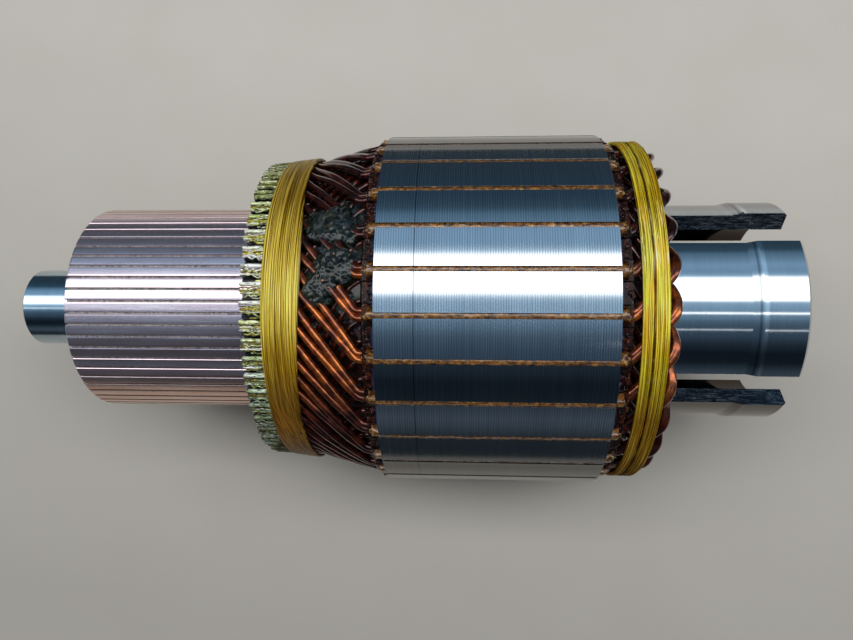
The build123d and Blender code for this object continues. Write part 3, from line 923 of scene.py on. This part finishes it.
def make_slot_strips():
    """The strips in the slot mouths, nearly flush and mottled. They stand out at both ends."""
    batch = Batch()
    steps = 120
    overhang = 2.0
    shoulder, foot, half_foot = 54.05, 53.1, 2.5
    start = X_CORE - overhang
    end = X_CORE_END + overhang
    for k in range(SLOTS):
        centre = SLOT_ANGLE + k * SLOT_PITCH
        seed = random.uniform(0, 90)
        rows = []
        for i in range(steps + 1):
            x = start + (end - start) * i / steps
            top, half = (54.72, 0.72) if X_CORE <= x <= X_CORE_END else (54.2, 0.95)
            row = []
            for u in (-1.0, -0.6, -0.2, 0.2, 0.6, 1.0):
                bulge = 0.16 * (1 - u * u) + 0.16 * wander(x * 0.9, u * 1.3, seed)
                row.append(at(x, top + bulge - 0.12, centre + degrees(u * half / 54.5)))
            row.append(at(x, shoulder, centre + degrees(half / 54.0)))
            row.append(at(x, foot, centre + degrees(half_foot / 53.0)))
            row.append(at(x, foot, centre - degrees(half_foot / 53.0)))
            row.append(at(x, shoulder, centre - degrees(half / 54.0)))
            rows.append(row)
        batch.bar(rows, random.random())
    batch.piece("slot_strips", "strip", ["slot_wedges"])


def make_liner_tips():
    """Resin lumps on the liners where the wires enter every slot, and small lumps between."""
    tips = Batch()
    lumps = Batch()
    # Each tip has its distance from the core, its rise and its sizes.
    tip_rows = [(0.8, 0.1, (1.2, 0.8, 0.45)), (1.9, -0.5, (1.0, 1.1, 0.55)),
                (2.8, -1.2, (0.8, 0.7, 0.45))]
    for k in range(SLOTS):
        centre = SLOT_ANGLE + k * SLOT_PITCH
        for end, sign in ((X_CORE, -1), (X_CORE_END, 1)):
            for place, rise, sizes in tip_rows:
                angle = centre + random.uniform(-0.5, 0.5)
                radius = 53.6 + rise + random.uniform(-0.2, 0.2)
                tips.blob(end + sign * place, radius, angle, sizes, random.uniform(0, 90),
                          random.random())
            for i in range(9):
                angle = centre + SLOT_PITCH * (0.14 + 0.72 * i / 8) + random.uniform(-0.4, 0.4)
                station = end + sign * random.uniform(0.7, 3.0)
                radius = 52.3 + random.uniform(-0.5, 0.35)
                size = random.uniform(0.5, 1.0)
                lumps.blob(station, radius, angle, (size, size * 1.2, size * 0.7),
                           random.uniform(0, 90), random.random(), 6, 8)
    lumps.piece("insulation_lumps", "insulation")
    tips.piece("liner_tips", "liner", ["slot_liners"])


def make_noses():
    """Coil noses of two wires each that look like one. They lie over each other like a rope."""
    batch = Batch()
    # The path of a nose: stations, radii and turns from its slot.
    marks = [(61.5, 50.8, 0.0), (66.5, 50.9, 0.0), (69.0, 50.7, -1.8), (72.0, 50.6, -5.4),
             (75.2, 50.6, -9.4), (77.4, 50.4, -12.6), (78.4, 49.4, -15.8), (78.2, 47.6, -19.4),
             (76.8, 45.9, -22.8), (73.6, 44.7, -26.2)]
    for k in range(SLOTS):
        angle = SLOT_ANGLE + k * SLOT_PITCH
        seed = random.uniform(0, 80)
        shade = random.random()
        for side in (-1, 1):
            points = []
            for i, (x, r, turn) in enumerate(marks):
                along, across = (0.0, 0.7) if i < 2 else (0.34 * 0.62, 0.34 * 0.78)
                wobble = 0.25 * wander(i * 0.6, seed)
                points.append(at(x + side * along + wobble, r + 0.12 * side,
                                 angle + turn + degrees(side * across / r)))
            batch.tube(curve_through(points, 6), NOSE_WIRE, 12, shade)
    batch.piece("rope_noses", "wire", ["right_coil_noses"])


def make_deep_right():
    """The lower layer of the right end winding."""
    start = X_RIGHT_INSULATION_END + 0.1
    end = X_WEB - 0.1
    profile = [(start, 46.2), (68.5, 46.2), (70.5, 46.0), (72.5, 45.4), (end, 44.2),
               (end, COIL_HEAD_BORE), (start, COIL_HEAD_BORE)]

    def outline(i, angle):
        return [at(x, r + (0.4 * wander(x * 0.4, i * 0.4) if r > 40 else 0.0), angle)
                for x, r in profile]

    body = Batch()
    body.ring(outline, 240)
    body.piece("coil_head_body_right", "varnish", ["right_coil_bed"])
    wires = Batch()
    for k in range(BARS):
        angle = SLOT_ANGLE + k * BAR_PITCH
        path = []
        for i in range(15):
            x = 65.0 + 9.5 * i / 14
            slant = 14.0 * smooth_step((x - 64.0) / 12)
            path.append(at(x, 48.3 - 0.12 * (x - 65.0), angle + slant))
        wires.tube(path, RIGHT_DEEP_WIRE, 8, random.random())
    wires.piece("deep_wires_right", "shaded_deep_wire")


make_bars()
make_risers()
make_band("wound_left_band", "left_band", X_LEFT_BAND, X_LEFT_BAND_END, LEFT_BAND_START_RADIUS,
          LEFT_BAND_END_RADIUS, 1.1, 11, narrowing=2.2)
make_top_wires()
make_deep_left()
make_putty()
make_slot_strips()
make_liner_tips()
make_band("wound_right_band", "right_band", X_RIGHT_BAND, X_RIGHT_BAND_END, RIGHT_BAND_RADIUS,
          RIGHT_BAND_RADIUS, 0.9, 7, seam=X_RIGHT_SEAM)
make_noses()
make_deep_right()

# The nodes that stay, and those that the pieces above replace, get their looks too.
NODE_LOOKS = {
    "shaft": "shaft", "commutator_hub": "hub", "commutator_bars": "bars",
    "commutator_mica": "mica", "commutator_risers": "bars", "left_band": "left_band",
    "left_coil_bed": "varnish", "left_top_wires": "wire", "balancing_putty": "putty",
    "left_end_insulation": "insulation", "core_short_stack": "core", "core_long_stack": "core",
    "slot_wedges": "strip", "slot_liners": "liner", "coil_sides": "insulation",
    "right_end_insulation": "insulation", "right_coil_bed": "varnish",
    "right_coil_noses": "wire", "right_band": "right_band", "drive_jaw_tube": "jaw",
}
for node, look in NODE_LOOKS.items():
    for mesh_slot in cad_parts[node].material_slots:
        mesh_slot.material = LOOKS[look]


# Floor, light and camera

LEFT, RIGHT, NEAR, FAR = -330, 370, -190, 260
floor_mesh = bpy.data.meshes.new("floor")
floor_mesh.from_pydata([(x * MM, y * MM, FLOOR_Z * MM) for x, y in (
    (LEFT, NEAR), (RIGHT, NEAR), (RIGHT, FAR), (LEFT, FAR))], [], [(0, 1, 2, 3)])
floor_mesh.materials.append(LOOKS["floor"])
floor_object = bpy.data.objects.new("floor", floor_mesh)
bpy.context.scene.collection.objects.link(floor_object)

# The room as the armature's steel mirrors it: a broad white light overhead, a narrow one on its
# lower side in the picture, and blue tones that darken away from them. Each stop has an angle
# from the zenith, positive towards +Y, and the light from there.
PEAK = 3.0
WHITE = (PEAK, PEAK, PEAK)
ROOM = [
    (-125, (0.03, 0.045, 0.055)), (-97, (0.018, 0.023, 0.03)), (-90, (0.055, 0.072, 0.09)),
    (-82, (0.07, 0.09, 0.115)), (-74, (0.03, 0.045, 0.06)), (-67, (0.01, 0.016, 0.022)),
    (-56, (0.008, 0.013, 0.02)), (-46, (0.022, 0.036, 0.05)), (-38, (0.05, 0.08, 0.12)),
    (-28, (0.075, 0.12, 0.17)), (-23, (0.11, 0.18, 0.25)), (-18.5, (0.19, 0.31, 0.43)),
    (-14.5, (0.22, 0.35, 0.48)), (-14.1, WHITE), (-13.1, WHITE), (-12.7, (0.25, 0.4, 0.55)),
    (-5, (0.36, 0.56, 0.74)), (-2.4, (0.5, 0.7, 0.85)), (-0.4, WHITE), (21.5, WHITE),
    (24.5, (0.4, 0.62, 0.82)), (29, (0.25, 0.43, 0.6)), (37, (0.3, 0.48, 0.68)),
    (43, (0.2, 0.34, 0.47)), (50, (0.12, 0.22, 0.32)), (54, (0.045, 0.09, 0.13)),
    (66, (0.03, 0.06, 0.09)), (90, (0.03, 0.05, 0.07)), (125, (0.04, 0.05, 0.055)),
]
# A second narrow light stands so far to the drive end that only the jaw tube mirrors it.
SECOND_LIGHT_ANGLE = -31.3
SECOND_LIGHT = 1.6
BACKGROUND = (0.46, 0.44, 0.4)

world = bpy.data.worlds.new("room")
world.use_nodes = True
bpy.context.scene.world = world
world.cycles_visibility.diffuse = False
nodes = Nodes(world.node_tree)
direction = nodes.node("ShaderNodeTexCoord", output="Generated")
parts = nodes.node("ShaderNodeSeparateXYZ", (direction,)).node.outputs
turn = nodes.math("ARCTAN2", parts["Y"], parts["Z"])
# The ramp's colours go up to 1, so it holds shares of the peak.
mirrored = nodes.ramp(nodes.fade(turn, -pi, pi), [
    ((angle + 180) / 360, [c / PEAK for c in light]) for angle, light in ROOM])
mirrored = nodes.vector("MULTIPLY", mirrored, WHITE)
line = nodes.fade(nodes.away(turn, radians(SECOND_LIGHT_ANGLE)), radians(0.25), radians(0.5),
                  SECOND_LIGHT, 0.0)
line = nodes.times(line, nodes.fade(parts["X"], 0.22, 0.26))
mirrored = nodes.vector("ADD", mirrored, nodes.joined(line, line, line))
seen = nodes.node("ShaderNodeLightPath", output="Is Camera Ray")
nodes.plug(world.node_tree.nodes["Background"].inputs["Color"],
           nodes.mix(seen, mirrored, BACKGROUND))


def lamp(name, angle, width, power):
    """A soft strip lamp along the shaft that lights matt surfaces from an angle past the zenith."""
    distance, length = 1.2, 2.4
    data = bpy.data.lights.new(name, "AREA")
    data.shape = "RECTANGLE"
    data.size = length
    data.size_y = width
    data.energy = power
    made = bpy.data.objects.new(name, data)
    a = radians(angle)
    made.location = (0.0, distance * sin(a), distance * cos(a))
    made.rotation_euler = (-a, 0.0, 0.0)
    made.visible_glossy = False
    made.visible_camera = False
    bpy.context.scene.collection.objects.link(made)


lamp("side_light", 9.0, 0.46, 16.5)
lamp("top_light", 0.0, 2.4, 6.0)

# The camera comes from a fit to the rims, slots and bars in the photograph.
camera_data = bpy.data.cameras.new("camera")
camera_data.lens = 28.366
camera_data.sensor_width = 36.0
camera_data.clip_start = 0.01
camera = bpy.data.objects.new("camera", camera_data)
camera.location = (0.0253166, -0.0408124, 0.2192668)
camera.rotation_euler = (radians(9.5969), radians(3.3151), radians(0.8621))
bpy.context.scene.collection.objects.link(camera)
bpy.context.scene.camera = camera
bpy.context.scene.view_settings.view_transform = "Standard"
